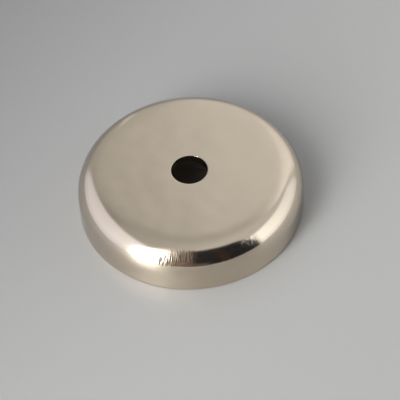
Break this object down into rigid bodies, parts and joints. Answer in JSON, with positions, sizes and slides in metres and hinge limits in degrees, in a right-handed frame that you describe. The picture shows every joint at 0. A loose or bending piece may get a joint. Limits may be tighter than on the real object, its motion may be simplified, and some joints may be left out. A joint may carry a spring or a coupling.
{
  "type": "pot magnet",
  "caption": "Round pot magnet: a shallow drawn steel cup around a ferrite ring set in resin, with a plain screw hole through its closed face.",
  "frame": {"origin": "centre of the holding face, on the axis, in the plane of the cup's rim", "axes": "+Z along the axis, from the holding face to the closed steel face; X and Y are any two directions across the round part"},
  "size_m": [0.032, 0.032, 0.007],
  "materials": {
    "nickel_plated_steel": "polished",
    "hard_ferrite": "satin",
    "casting_resin": "satin"
  },
  "bodies": {
    "root": {"cup": "nickel_plated_steel", "ring_magnet": "hard_ferrite", "resin": "casting_resin"}
  },
  "joints": []
}
